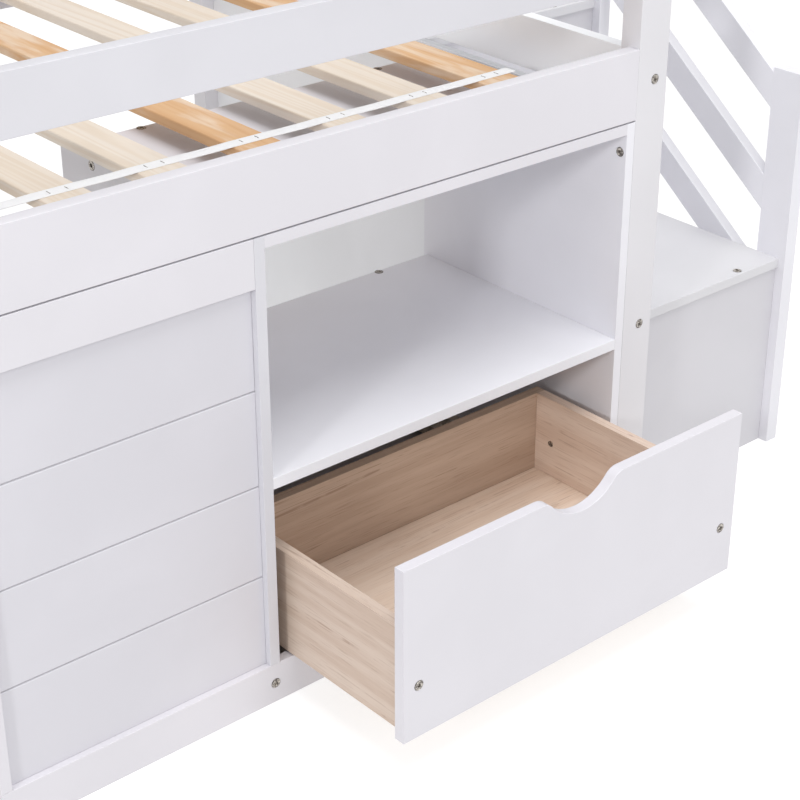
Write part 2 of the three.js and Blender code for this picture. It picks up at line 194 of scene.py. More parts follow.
class NodeTree:
    """The node tree of one new material or world."""

    def __init__(self, owner: bpy.types.Material | bpy.types.World) -> None:
        """Starts an empty tree.

        Args:
            owner: The material or world that the tree belongs to.
        """
        owner.use_nodes = True
        self.owner = owner
        self.tree = owner.node_tree
        self.tree.nodes.clear()

    @classmethod
    def of_material(cls, name: str) -> "NodeTree":
        """The empty tree of a new material."""
        return cls(bpy.data.materials.new(name))

    def node(
        self,
        kind: str,
        inputs: dict[object, object] | None = None,
        output: object = 0,
        **settings: object,
    ) -> Shade | None:
        """Adds a node.

        Args:
            kind: Blender's name of the node type.
            inputs: Values or wrapped sockets for the node's sockets.
            output: The name or number of the output to wrap.
            settings: The node's own settings, set before its inputs.

        Returns:
            The wrapped output, or None for a node that has no output.
        """
        made = self.tree.nodes.new(kind)
        for key, value in settings.items():
            setattr(made, key, value)
        for key, value in (inputs or {}).items():
            if isinstance(value, Shade):
                self.tree.links.new(value.socket, made.inputs[key])
            else:
                made.inputs[key].default_value = value
        return Shade(self, made.outputs[output]) if len(made.outputs) else None

    def place(self) -> Shade:
        """Object coordinates, which are places in the row frame in metres."""
        return self.node("ShaderNodeTexCoord", output="Object")

    def part(self, vector: Shade, number: int) -> Shade:
        """One part of a vector: 0 gives x, 1 gives y, 2 gives z."""
        return self.node("ShaderNodeSeparateXYZ", {0: vector}, number)

    def stretched(self, vector: Shade, factors: Sequence[float]) -> Shade:
        """A vector times a factor for each axis."""
        inputs = {0: vector, 1: tuple(factors)}
        return self.node("ShaderNodeVectorMath", inputs, operation="MULTIPLY")

    def noise(self, vector: Shade, pattern: Pattern) -> Shade:
        """The pattern's value at the vector, from 0 to 1."""
        named = zip(("Scale", "Detail", "Distortion"), pattern)
        return self.node("ShaderNodeTexNoise", {"Vector": vector, **dict(named)})

    def layer(self, vector: Shade, layer: Layer) -> Shade:
        """The layer's share at the vector."""
        return self.noise(vector, layer.pattern).between(*layer.edge) * layer.strength

    def mix(self, share: object, first: object, second: object) -> Shade:
        """Mixes two colours.

        Args:
            share: 0 gives the first, 1 the second.
            first: A colour or a wrapped colour.
            second: A colour or a wrapped colour.

        Returns:
            The mixed colour.
        """
        inputs = {0: share}
        for number, colour in zip(MIX_COLOURS, (first, second)):
            inputs[number] = colour if isinstance(colour, Shade) else (*colour, 1.0)
        return self.node("ShaderNodeMix", inputs, MIX_RESULT, data_type="RGBA")

    def bump(self, height: Shade, depth: float) -> Shade:
        """A normal from a height from 0 to 1, where 1 stands up by the depth in metres."""
        inputs = {"Strength": 1.0, "Distance": depth, "Height": height}
        return self.node("ShaderNodeBump", inputs)

    def surface(
        self,
        colour: Shade,
        roughness: Shade | float,
        normal: Shade,
        specular: float = 0.5,
        metallic: float = 0.0,
    ) -> bpy.types.Material:
        """Closes the tree with a Principled surface.

        Args:
            colour: The base colour.
            roughness: How matt it is, from 0 to 1.
            normal: The bent normal.
            specular: The specular level.
            metallic: 1 for bare metal.

        Returns:
            The finished material.
        """
        inputs = {"Base Color": colour, "Roughness": roughness, "Normal": normal}
        inputs |= {"Specular IOR Level": specular, "Metallic": metallic}
        shader = self.node("ShaderNodeBsdfPrincipled", inputs)
        self.node("ShaderNodeOutputMaterial", {"Surface": shader})
        return self.owner


# Finishes


def scaled(colour: Colour, factor: float) -> Colour:
    """The colour with each channel times a factor."""
    return tuple(channel * factor for channel in colour)


@dataclass(frozen=True)
class PaintedBoard:
    """White painted board: a faint mottle, fine roller texture and satin gloss.

    A grooved board gives the y of its face in metres. Painted shade darkens the grooves.
    """

    name: str
    colour: Colour
    roughness: float = 0.4
    roughness_spread: float = 0.08
    roughness_noise: Pattern = Pattern(40.0, 3.0)
    specular: float = 0.4
    mottle: float = 0.02
    mottle_noise: Pattern = Pattern(5.0, 4.0, 0.4)
    mottle_edge: Span = (0.3, 0.7)
    roller_noise: Pattern = Pattern(1100.0)
    roller_depth: float = 0.00003
    grooved_face: float | None = None
    painted_groove_shade: float = 0.72
    groove_start: Span = (0.0005, 0.0014)
    groove_end: Span = (0.0022, 0.0028)
    slot: ClassVar[Slot] = Slot.WHITE

    def build(self) -> bpy.types.Material:
        """Makes the material.

        Colour = paint times a mottle a few hand widths across, and in the grooves paint
        times the painted groove shade, a darkening that stands in for shade.

        Returns:
            The material.
        """
        tree = NodeTree.of_material(self.name)
        place = tree.place()
        mottle = tree.noise(place, self.mottle_noise)
        roller = tree.noise(place, self.roller_noise)
        gloss = tree.noise(place, self.roughness_noise)
        deep = scaled(self.colour, 1 - self.mottle)
        high = scaled(self.colour, 1 + self.mottle)
        paint = tree.mix(mottle.between(*self.mottle_edge), deep, high)
        # Painted shade: the colour is darkened in the grooves, where shade falls.
        if self.grooved_face is not None:
            painted_groove_colour = scaled(self.colour, self.painted_groove_shade)
            paint = tree.mix(self._painted_groove_shade_mask(tree, place), paint, painted_groove_colour)
        smoothest = self.roughness - self.roughness_spread / 2
        roughness = smoothest + self.roughness_spread * gloss
        normal = tree.bump(roller, self.roller_depth)
        return tree.surface(paint, roughness, normal, self.specular)

    def _painted_groove_shade_mask(self, tree: NodeTree, place: Shade) -> Shade:
        """Painted shade: 1 in a band of depths behind the face, 0 before and behind it."""
        depth = tree.part(place, 1) - self.grooved_face
        return depth.between(*self.groove_start) * (1.0 - depth.between(*self.groove_end))


@dataclass(frozen=True)
class Pine:
    """Unfinished pine: bands of early and late wood, fine fibres and a few knots."""

    name: str
    early: Colour
    late: Colour
    knot: Colour
    slot: Slot
    grain: Grain = Grain.ALONG_Y
    band_noise: Pattern = Pattern(22.0, 2.0, 0.6)
    band_turns: float = 58.0
    band_power: float = 1.6
    band_strength: float = 0.6
    broad: Layer = Layer(Pattern(12.0), (0.35, 0.75), 0.35)
    patch: Layer = Layer(Pattern(34.0, 4.0, 0.3), (0.48, 0.66), 0.3)
    patch_stretch: Point = (1.0, 0.14, 1.0)
    patch_colour: Colour = (0.80, 0.71, 0.60)
    fibre_noise: Pattern = Pattern(900.0, 3.0)
    fibre_edge: Span = (0.5, 0.8)
    fibre_strength: float = 0.22
    knot_cells: Point = (9.0, 3.2, 9.0)
    knot_edge: Span = (0.035, 0.085)
    roughness: Span = (0.55, 0.15)
    relief: float = 0.00012
    fibre_relief: float = 0.7
    band_relief: float = 0.3
    specular: float = 0.3

    def build(self) -> bpy.types.Material:
        """Makes the material.

        The bands are a sine of a noise that is stretched along the grain. A knot is a
        rare cell of a Voronoi pattern, dark in its middle. Pale patches a hand long lie
        over the bands.

        Returns:
            The material.
        """
        tree = NodeTree.of_material(self.name)
        place = tree.place()
        along = tree.stretched(place, self.grain.value)
        swirl = tree.noise(along, self.band_noise)
        bands = ((swirl * self.band_turns).sine() * 0.5 + 0.5) ** self.band_power
        fibres = tree.noise(along, self.fibre_noise)
        inputs = {"Vector": tree.stretched(place, self.knot_cells), "Scale": 1.0}
        cells = tree.node("ShaderNodeTexVoronoi", inputs, "Distance", feature="F1")
        wood = tree.mix(bands * self.band_strength, self.early, self.late)
        broader = tree.layer(along, self.broad)
        patches = tree.layer(tree.stretched(place, self.patch_stretch), self.patch)
        flecks = fibres.between(*self.fibre_edge) * self.fibre_strength
        faded = tree.mix(patches, tree.mix(broader, wood, self.late), self.patch_colour)
        flecked = tree.mix(flecks, faded, self.late)
        knotted = tree.mix(1.0 - cells.between(*self.knot_edge), flecked, self.knot)
        smoothest, rougher = self.roughness
        height = fibres * self.fibre_relief + bands * self.band_relief
        normal = tree.bump(height, self.relief)
        return tree.surface(knotted, smoothest + rougher * fibres, normal, self.specular)


@dataclass(frozen=True)
class OakFacing:
    """Matt oak facing: pale ground, soft streaks, fine pores and a few broken dark lines
    along the grain."""

    name: str
    ground: Colour
    streak: Colour
    pore: Colour
    grain: Grain = Grain.ALONG_Y
    streaks: Layer = Layer(Pattern(70.0, 4.0, 0.5), (0.36, 0.66), 0.75)
    broad: Layer = Layer(Pattern(18.0, 2.0, 0.8), (0.4, 0.8), 0.5)
    vein_noise: Pattern = Pattern(34.0, 3.0, 0.7)
    vein_edges: Point = (0.475, 0.485, 0.495)
    vein_gaps: Layer = Layer(Pattern(30.0), (0.42, 0.6), 0.75)
    pore_noise: Pattern = Pattern(620.0, 3.0)
    pore_edge: Span = (0.52, 0.72)
    pore_strength: float = 0.45
    roughness: Span = (0.5, 0.12)
    relief: float = 0.00008
    specular: float = 0.3
    slot: ClassVar[Slot] = Slot.OAK

    def build(self) -> bpy.types.Material:
        """Makes the material.

        Streaks and pores are noises stretched along the grain. A line runs where a noise
        passes one narrow band of values, and a second noise breaks it.

        Returns:
            The material.
        """
        tree = NodeTree.of_material(self.name)
        place = tree.place()
        along = tree.stretched(place, self.grain.value)
        crest = tree.noise(along, self.vein_noise)
        pores = tree.noise(along, self.pore_noise).between(*self.pore_edge)
        rise, top, fall = self.vein_edges
        line = crest.between(rise, top) * (1.0 - crest.between(top, fall))
        veins = line * tree.layer(place, self.vein_gaps)
        wood = tree.mix(tree.layer(along, self.streaks), self.ground, self.streak)
        broader = tree.mix(tree.layer(along, self.broad), wood, self.streak)
        veined = tree.mix(veins, broader, self.pore)
        porous = tree.mix(pores * self.pore_strength, veined, self.pore)
        smoothest, rougher = self.roughness
        normal = tree.bump(1.0 - pores, self.relief)
        return tree.surface(porous, smoothest + rougher * pores, normal, self.specular)


@dataclass(frozen=True)
class AgedBrass:
    """Brass that has darkened unevenly, brighter where it is rubbed."""

    name: str
    bright: Colour
    dark: Colour
    patch_noise: Pattern = Pattern(420.0, 4.0, 0.5)
    patch_edge: Span = (0.35, 0.7)
    metallic: float = 0.9
    dark_roughness: float = 0.52
    rubbed: float = 0.2
    scratch_noise: Pattern = Pattern(2600.0)
    scratch_depth: float = 0.00002
    slot: ClassVar[Slot] = Slot.BRASS

    def build(self) -> bpy.types.Material:
        """Makes the material. Patches of a fine noise mix the dark and bright metal.

        Returns:
            The material.
        """
        tree = NodeTree.of_material(self.name)
        place = tree.place()
        patches = tree.noise(place, self.patch_noise).between(*self.patch_edge)
        metal = tree.mix(patches, self.dark, self.bright)
        roughness = self.dark_roughness - self.rubbed * patches
        normal = tree.bump(tree.noise(place, self.scratch_noise), self.scratch_depth)
        return tree.surface(metal, roughness, normal, metallic=self.metallic)


@dataclass(frozen=True)
class WovenTape:
    """White tape in a plain weave, with painted shade greying the weave's hollows."""

    name: str
    colour: Colour
    thread: float = 0.0011
    thread_depth: float = 0.0002
    painted_hollow_shade: float = 0.93
    weave_share: float = 0.6
    soil_noise: Pattern = Pattern(60.0, 3.0)
    soil_share: float = 0.3
    roughness: float = 0.85
    specular: float = 0.2
    slot: ClassVar[Slot] = Slot.TAPE

    def build(self) -> bpy.types.Material:
        """Makes the material.

        The weave is the product of two sines, one for each thread direction, over the
        tape's own map in metres.

        Returns:
            The material.
        """
        tree = NodeTree.of_material(self.name)
        turn = 2 * math.pi / self.thread
        flat = tree.node("ShaderNodeUVMap", uv_map="UVMap")
        x, y = (tree.part(flat, number) for number in (0, 1))
        weave = (x * turn).sine() * (y * turn).sine() * 0.5 + 0.5
        soil = tree.noise(tree.place(), self.soil_noise)
        share = weave * self.weave_share + soil * self.soil_share
        # Painted shade: the weave's hollows are greyer; the soil noise adds random tone.
        woven = tree.mix(share, scaled(self.colour, self.painted_hollow_shade), self.colour)
        normal = tree.bump(weave, self.thread_depth)
        return tree.surface(woven, self.roughness, normal, self.specular)


RAIL_WHITE = PaintedBoard("rail_white", (0.715, 0.70, 0.74))
GUARD_WHITE = PaintedBoard("guard_white", (0.665, 0.66, 0.70))
# Painted light: a lighter copy of the white paint for the end boards and the stair's shaded
# inner side.
END_WHITE_PAINTED_LIGHT = PaintedBoard("end_white_painted_light", (0.87, 0.88, 0.905))
PANEL_WHITE = PaintedBoard(
    "panel_white", (0.66, 0.65, 0.695), roughness=0.45, grooved_face=-0.39325
)
POST_WHITE = PaintedBoard("post_white", (0.72, 0.71, 0.74), roughness=0.38)
# Painted light: a lighter copy of the white paint for the cabinet's inner boards, the
# newels and handrails.
WALL_WHITE_PAINTED_LIGHT = PaintedBoard("wall_white_painted_light", (0.80, 0.795, 0.84), roughness=0.36)
# Painted light: a lighter copy of the white paint for the shelf in the cabinet's recess.
SHELF_WHITE_PAINTED_LIGHT = PaintedBoard("shelf_white_painted_light", (0.83, 0.83, 0.87), roughness=0.36)
STAIR_WHITE = PaintedBoard("stair_white", (0.68, 0.675, 0.70))
# Painted shade: a darker copy of the white paint for the stair's risers and outer side.
RISER_WHITE_PAINTED_SHADE = PaintedBoard("riser_white_painted_shade", (0.64, 0.63, 0.665))
WARM_PINE = Pine(
    "warm_pine_wood",
    early=(0.66, 0.42, 0.23),
    late=(0.59, 0.33, 0.16),
    knot=(0.38, 0.195, 0.088),
    slot=Slot.WARM_PINE,
    patch=Layer(Pattern(34.0, 4.0, 0.3), (0.48, 0.66), 0.55),
)
PALE_PINE = Pine(
    "pale_pine_wood",
    early=(0.745, 0.67, 0.59),
    late=(0.665, 0.55, 0.43),
    knot=(0.445, 0.285, 0.16),
    slot=Slot.PALE_PINE,
)
OAK_SIDE = OakFacing(
    "oak_side_facing",
    ground=(0.68, 0.56, 0.47),
    streak=(0.58, 0.445, 0.355),
    pore=(0.415, 0.29, 0.22),
)
# Painted light: a lighter copy of the oak for the drawer's inner right side.
OAK_RIGHT_PAINTED_LIGHT = OakFacing(
    "oak_right_painted_light",
    ground=(0.78, 0.64, 0.54),
    streak=(0.67, 0.51, 0.41),
    pore=(0.48, 0.33, 0.25),
)
# Painted shade: a darker copy of the oak for the drawer's back, under the shelf.
OAK_BACK_PAINTED_SHADE = OakFacing(
    "oak_back_painted_shade",
    ground=(0.575, 0.44, 0.345),
    streak=(0.48, 0.35, 0.265),
    pore=(0.325, 0.22, 0.155),
    grain=Grain.ALONG_X,
)
# Painted light: a lighter copy of the oak for the drawer's floor.
OAK_FLOOR_PAINTED_LIGHT = OakFacing(
    "oak_floor_painted_light",
    ground=(0.91, 0.76, 0.64),
    streak=(0.83, 0.66, 0.53),
    pore=(0.63, 0.47, 0.36),
    grain=Grain.ALONG_X,
)
BRASS = AgedBrass("aged_brass_metal", bright=(0.66, 0.62, 0.56), dark=(0.13, 0.115, 0.11))
TAPE_WHITE = WovenTape("tape_white_weave", (0.90, 0.90, 0.91))

Finish = PaintedBoard | Pine | OakFacing | AgedBrass | WovenTape


# Meshes


def object_from(name: str, points: np.ndarray, faces: list) -> bpy.types.Object:
    """A new object with smooth faces, and sharp edges where two meet at a steep angle.

    Args:
        name: The piece's name.
        points: Vertex places in metres.
        faces: Vertex numbers of each face.

    Returns:
        The object, at the origin.
    """
    mesh = bpy.data.meshes.new(name)
    mesh.from_pydata(np.asarray(points, float).tolist(), [], faces)
    mesh.validate()
    mesh.polygons.foreach_set("use_smooth", np.ones(len(mesh.polygons), bool))
    mesh.set_sharp_from_angle(angle=SHARP_EDGE)
    made = bpy.data.objects.new(name, mesh)
    bpy.context.scene.collection.objects.link(made)
    return made


def tube(name: str, rings: np.ndarray) -> bpy.types.Object:
    """One or more tubes from rings of points, with a face on each end.

    Args:
        name: The piece's name.
        rings: Points in metres, as tubes x rings x points x 3. Each ring is
            anticlockwise when it is seen from the next ring's side.

    Returns:
        The object.
    """
    number = np.arange(rings[..., 0].size).reshape(rings.shape[:3])
    beside = np.roll(number, -1, axis=2)
    sides = [number[:, :-1], beside[:, :-1], beside[:, 1:], number[:, 1:]]
    faces = np.stack(sides, -1).reshape(-1, 4).tolist()
    faces += number[:, 0, ::-1].tolist() + number[:, -1].tolist()
    return object_from(name, rings.reshape(-1, 3), faces)


def rounded_section(
    width: float, height: float, radius: float, steps: int = 4
) -> np.ndarray:
    """A rectangle with rounded corners, anticlockwise.

    Each corner's point = corner centre + radius times (cos a, sin a), with a from the
    corner's first to its last quarter turn.

    Args:
        width: Size along the first axis.
        height: Size along the second axis.
        radius: Corner radius.
        steps: Pieces of each corner.

    Returns:
        Points as n x 2, about the middle.
    """
    turn = np.arange(4)[:, None] * math.pi / 2
    angle = turn + np.linspace(0, math.pi / 2, steps + 1)[None, :]
    sides = np.array([[1, 1], [-1, 1], [-1, -1], [1, -1]])[:, None, :]
    middle = sides * (np.array([width, height]) / 2 - radius)
    corner = np.stack([np.cos(angle), np.sin(angle)], -1) * radius
    return (middle + corner).reshape(-1, 2)


def join_flat_faces(mesh: bpy.types.Mesh) -> None:
    """Joins triangles that lie in one plane, so that a face shades evenly.

    Args:
        mesh: The mesh, which is changed.
    """
    shape = bmesh.new()
    shape.from_mesh(mesh)
    bmesh.ops.dissolve_degenerate(shape, dist=SLIVER, edges=shape.edges)
    bmesh.ops.dissolve_limit(
        shape, angle_limit=FLAT_JOINT, verts=shape.verts, edges=shape.edges
    )
    shape.to_mesh(mesh)
    shape.free()


def eased_copy(node: str, name: str, ease: float) -> bpy.types.Object:
    """A merged copy of a CAD node whose edges are rounded over.

    Args:
        node: The CAD node.
        name: The new piece's name.
        ease: Radius of the edges in metres.

    Returns:
        The copy, with a Bevel modifier.
    """
    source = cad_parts[node].data
    places = np.zeros(len(source.vertices) * 3)
    source.vertices.foreach_get("co", places)
    source.calc_loop_triangles()
    corners = np.zeros(len(source.loop_triangles) * 3, int)
    source.loop_triangles.foreach_get("vertices", corners)
    keys = np.round(places.reshape(-1, 3), KEPT_DECIMALS)
    points, merged = np.unique(keys, axis=0, return_inverse=True)
    triangles = merged.reshape(-1)[corners].reshape(-1, 3)
    whole = (triangles != np.roll(triangles, 1, axis=1)).all(axis=1)
    copy = object_from(name, points, triangles[whole].tolist())
    join_flat_faces(copy.data)
    bevel = copy.modifiers.new("eased_edges", "BEVEL")
    bevel.width = ease
    bevel.segments = 2
    bevel.limit_method = "ANGLE"
    bevel.angle_limit = EASED_EDGE
    bevel.harden_normals = True
    return copy


def facing(direction: Sequence[float]) -> np.ndarray:
    """A rotation that turns +z to the direction.

    x = up cross z, or right cross z where z is nearly upright. y = z cross x.

    Args:
        direction: Where z goes.

    Returns:
        The three axes as the columns of a matrix.
    """
    z = np.array(direction, float)
    z /= np.linalg.norm(z)
    x = np.cross(UP if abs(z[2]) < NEARLY_UP else RIGHT, z)
    x /= np.linalg.norm(x)
    return np.stack([x, np.cross(z, x), z], axis=1)


@dataclass(frozen=True)
class Fastener:
    """A turned metal head with a recess. Its sizes are in millimetres."""

    radius: float
    rise: float
    seat: float
    recess: float
    recess_depth: float
    drive: Drive
    steps: int = 48
    slot_length: float = 0.82
    recess_rows: Span = (0.02, 0.94)
    hex_land: Span = (0.5, 0.43)
    slot_land: Point = (1.05, 0.6, 0.88)
    rounding: tuple[Span, ...] = ((0.9, 1.0), (0.97, 0.8), (1.0, 0.4))
    seat_rows: Span = (1.0, 0.05)

    def _recess_radius(self, angle: np.ndarray) -> np.ndarray:
        """Radius of the recess at each angle.

        Hexagon: across-flats half / cos(angle folded into one sixth). Slot: the smaller
        of half length / |cos| and half width / |sin|.

        Args:
            angle: Angles about the axis.

        Returns:
            A radius for each.
        """
        if self.drive is Drive.HEX:
            folded = np.mod(angle, math.pi / 3) - math.pi / 6
            return self.recess / np.cos(folded)
        across = np.abs(np.cos(angle)) / (self.radius * self.slot_length)
        along = np.abs(np.sin(angle)) / self.recess
        return 1 / np.maximum(across, along)

    def rings(self) -> np.ndarray:
        """The head's surface as rings x points x 3, with its axis along z.

        A profile of (radius, height) is turned about the axis. The rows inside the recess
        take the recess's radius at each angle in place of a circle's. A flat land lies
        between the recess and the rounded rim.

        Returns:
            The points.
        """
        angle = np.linspace(0, 2 * math.pi, self.steps, endpoint=False)
        recess = self._recess_radius(angle)
        within, around = self.hex_land
        land = recess * within + self.radius * around
        if self.drive is Drive.SLOT:
            beyond, least, most = self.slot_land
            land = np.clip(recess * beyond, self.radius * least, self.radius * most)
        floor = self.rise - self.recess_depth
        rows = [(recess * share, floor) for share in self.recess_rows]
        rows += [(recess, self.rise), (land, self.rise)]
        rows += [(self.radius * share, self.rise * rise) for share, rise in self.rounding]
        rows += [(self.radius * share, -self.seat) for share in self.seat_rows]
        radius, height = (
            np.stack([np.broadcast_to(value, angle.shape) for value in values])
            for values in zip(*rows)
        )
        return np.stack([radius * np.cos(angle), radius * np.sin(angle), height], -1)

    def place_all(self, name: str, seats: Sequence[Seat]) -> bpy.types.Object:
        """Sets a copy of the head at every seat, in one mesh.

        Args:
            name: The piece's name.
            seats: Each seat's point in bed millimetres and its outward direction.

        Returns:
            The object.
        """
        turns = np.array([facing(outward) for _, outward in seats])
        points = np.array([point for point, _ in seats], float)
        rings = np.einsum("nij,rcj->nrci", turns, self.rings())
        return tube(name, bed_to_frame(rings + points[:, None, None, :]))


BOLT = Fastener(6.6, rise=0.35, seat=1.9, recess=2.6, recess_depth=1.7, drive=Drive.HEX)
BARREL_NUT = Fastener(
    4.8, rise=0.2, seat=3.0, recess=0.7, recess_depth=1.0, drive=Drive.SLOT
)


# Sub-assemblies


@dataclass
class SubAssembly:
    """A group of pieces that ride on one body."""

    body: Body = Body.FRAME
    ease: float = 0.9
    made: list[bpy.types.Object] = field(default_factory=list)

    def keep(self, piece: bpy.types.Object, finish: Finish) -> bpy.types.Object:
        """Dresses a new piece and sets it on its body.

        Args:
            piece: The new object.
            finish: Its finish.

        Returns:
            The same object.
        """
        material = bpy.data.materials.get(finish.name) or finish.build()
        piece.data.materials.append(material)
        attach(piece, self.body.value)
        self.made.append(piece)
        LOG.info("%s on %s in %s", piece.name, self.body.value, finish.name)
        return piece

    def dress(self, finish: Finish, *nodes: str) -> None:
        """Puts an eased copy in the place of each CAD node.

        Args:
            finish: The copies' finish.
            nodes: The CAD nodes' names.
        """
        for node in nodes:
            copy = eased_copy(node, f"{node}_board", self.ease * MM)
            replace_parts(self.keep(copy, finish), node)

    def fasten(self, name: str, seats: Sequence[Seat]) -> None:
        """Sets one bolt head in each pocket."""
        self.keep(BOLT.place_all(name, seats), BRASS)


@dataclass
class BedFrame(SubAssembly):
    """Posts, side rails, guard boards, end boards and ledgers."""

    length: float = 2034.0
    depth: float = 1045.0
    rail_middle: float = 10.0
    end_line: float = 23.0
    rail_heights: tuple[float, ...] = (678.0, 728.0)
    guard_heights: tuple[float, ...] = (873.0, 1033.0)
    end_board_height: float = 705.0
    stair_side_height: float = 342.0

    def build(self) -> None:
        """Dresses the boards and fills the bolt pockets in the posts."""
        sides = ("front", "back")
        posts = [f"{side}_{end}_post" for side in sides for end in ("left", "right")]
        self.dress(POST_WHITE, *posts)
        for board in ("side_rail", "slat_ledger"):
            self.dress(RAIL_WHITE, *(f"{side}_{board}" for side in sides))
        guards = [f"{side}_{row}_guard" for side in sides for row in ("lower", "upper")]
        self.dress(GUARD_WHITE, *guards)
        ends = [f"left_end_{board}" for board in ("board", "lower_guard", "upper_guard")]
        self.dress(END_WHITE_PAINTED_LIGHT, "right_end_board", *ends)
        self.fasten("rail_bolts", self._rail_seats())
        self.fasten("end_board_bolts", self._end_seats())

    def _rail_seats(self) -> list[Seat]:
        """Pockets on the posts' outer side faces, at the rails and guard boards.

        Returns:
            Each pocket's place and outward direction.
        """
        rows = (self.rail_middle, self.depth - self.rail_middle)
        heights = self.rail_heights + self.guard_heights
        ends = ((0.0, LEFT), (self.length, RIGHT))
        return [((x, y, z), out) for x, out in ends for y in rows for z in heights]

    def _end_seats(self) -> list[Seat]:
        """Pockets on the posts' front and back faces, at the end boards.

        Returns:
            Each pocket's place and outward direction.
        """
        right = self.length - self.end_line
        spots = [(self.end_line, self.end_board_height), (right, self.end_board_height)]
        spots += [(self.end_line, height) for height in self.guard_heights]
        spots.append((right, self.stair_side_height))
        faces = ((0.0, FRONT), (self.depth, BACK))
        return [((x, y, z), out) for y, out in faces for x, z in spots]


@dataclass
class SlatBase(SubAssembly):
    """Pine slats on the ledgers, held apart by two stapled tapes."""

    width: float = 60.0
    thickness: float = 15.0
    top: float = 690.0
    front: float = 22.0
    back: float = 1023.0
    first_right: float = 1911.0
    pitch: float = 138.0
    slips: tuple[float, ...] = (
        0.0, 0.053, 0.036, 0.041, 0.028, 0.068, 0.05, 0.04, 0.06, 0.03, 0.05, 0.02, 0.03
    )
    corner: float = 2.2
    end_inset: float = 1.0
    twist: float = 0.12
    twist_step: float = 2.3
    slat_rings: int = 26
    warm_every: int = 3
    tape_rows: tuple[float, ...] = (187.0, 953.0)
    tape_width: float = 20.0
    tape_thickness: float = 0.9
    tape_corner: float = 0.35
    tape_overhang: float = 11.0
    tape_sag: float = 0.5
    tape_wander: float = 0.5
    tape_wave: float = 140.0
    tape_rings: int = 420
    wire: float = 0.45
    wire_sides: int = 8
    wire_rise: float = 0.6
    staple_reach: float = 5.5
    staple_drop: float = 2.0
    staple_flat: int = 10
    staple_rings: int = 9
    staple_offsets: tuple[float, ...] = (-12.0, 12.0)

    def build(self) -> None:
        """Makes the slats, the tapes and the staples."""
        for index, right in enumerate(self._rights()):
            finish = PALE_PINE if index % self.warm_every else WARM_PINE
            self._slat(index, right, finish)
        for side, row in zip(("front", "back"), self.tape_rows):
            self._tape(side, row)
        self.keep(self._staples(), BRASS)

    def _rights(self) -> np.ndarray:
        """The slats' right edges: first edge - number * pitch + slip * pitch."""
        number = np.arange(len(self.slips))
        return self.first_right - self.pitch * (number - np.array(self.slips))

    def _slat(self, index: int, right: float, finish: Pine) -> None:
        """One slat: a rounded section carried along y, a touch twisted.

        Each ring is the section, which leans by twist * s over its width, with s from 1
        to -1 along the slat, and is cut off at the slats' top plane. A smaller ring closes
        each end.

        Args:
            index: The slat's number from the right, from 0.
            right: Its right edge.
            finish: Its wood.
        """
        inset = self.end_inset
        along = np.concatenate([[1.0], np.linspace(1, -1, self.slat_rings), [-1.0]])
        inner = np.ones(len(along), bool)
        inner[[0, -1]] = False
        section = rounded_section(self.width, self.thickness, self.corner)
        shrunk = rounded_section(
            self.width - 2 * inset, self.thickness - 2 * inset, self.corner - inset
        )
        ring = np.where(inner[:, None, None], section[None], shrunk[None])
        middle = (self.front + self.back) / 2
        half = (self.back - self.front) / 2
        ends = np.where(inner, half - inset, half)
        twist = self.twist * math.sin(self.twist_step * index) * along
        x = right - self.width / 2 + ring[..., 0]
        y = (middle + along * ends)[:, None]
        lean = twist[:, None] * ring[..., 0] / self.width
        z = self.top - self.thickness / 2 + ring[..., 1] + lean
        rings = np.stack(np.broadcast_arrays(x, y, np.minimum(z, self.top)), -1)
        slat = tube(f"slat_{index + 1:02d}_pine", bed_to_frame(rings[None]))
        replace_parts(self.keep(slat, finish), f"slat_{index + 1:02d}")

    def _tape_height(self, x: np.ndarray) -> np.ndarray:
        """The tape's underside, on the slats' top and a shallow parabola between two.

        Dip = sag * 4 t (1 - t), with t the share of the gap.

        Args:
            x: Places along the tape.

        Returns:
            A height for each.
        """
        rights = np.sort(self._rights())
        starts = rights[:-1]
        ends = rights[1:] - self.width
        inside = (x[:, None] > starts) & (x[:, None] < ends)
        t = (x[:, None] - starts) / (ends - starts)
        dip = np.where(inside, 4 * t * (1 - t), 0.0).sum(axis=1)
        return self.top - self.tape_sag * dip

    def _tape(self, side: str, row: float) -> None:
        """One tape: a thin rounded section carried along x over the slats.

        It sags between two slats and wanders sideways by wander * sin(x / wave).

        Args:
            side: front or back.
            row: The tape's middle line.
        """
        rights = self._rights()
        high = rights.max() + self.tape_overhang
        low = high - self.width - self.pitch * (len(rights) - 1) - 2 * self.tape_overhang
        x = np.linspace(low, high, self.tape_rings)
        section = rounded_section(self.tape_width, self.tape_thickness, self.tape_corner, 2)
        z = self._tape_height(x) + self.tape_thickness / 2
        wander = self.tape_wander * np.sin(x / self.tape_wave)
        path = np.stack([x, row + wander, z], -1)[:, None]
        rings = path + np.pad(section, ((0, 0), (1, 0)))
        tape = tube(f"{side}_slat_tape_weave", bed_to_frame(rings[None]))
        self._map_flat(tape)
        self.keep(tape, TAPE_WHITE)
        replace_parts(tape, f"{side}_slat_tape")
        flat = (self.tape_width * MM, (high - low) * MM)

    @staticmethod
    def _map_flat(piece: bpy.types.Object) -> None:
        """Gives a flat piece a UV map of its x and y in metres.

        Args:
            piece: The piece.
        """
        mesh = piece.data
        corners = np.zeros(len(mesh.loops), int)
        mesh.loops.foreach_get("vertex_index", corners)
        places = np.zeros(len(mesh.vertices) * 3)
        mesh.vertices.foreach_get("co", places)
        layer = mesh.uv_layers.new(name="UVMap")
        layer.data.foreach_set("uv", places.reshape(-1, 3)[corners, :2].ravel())

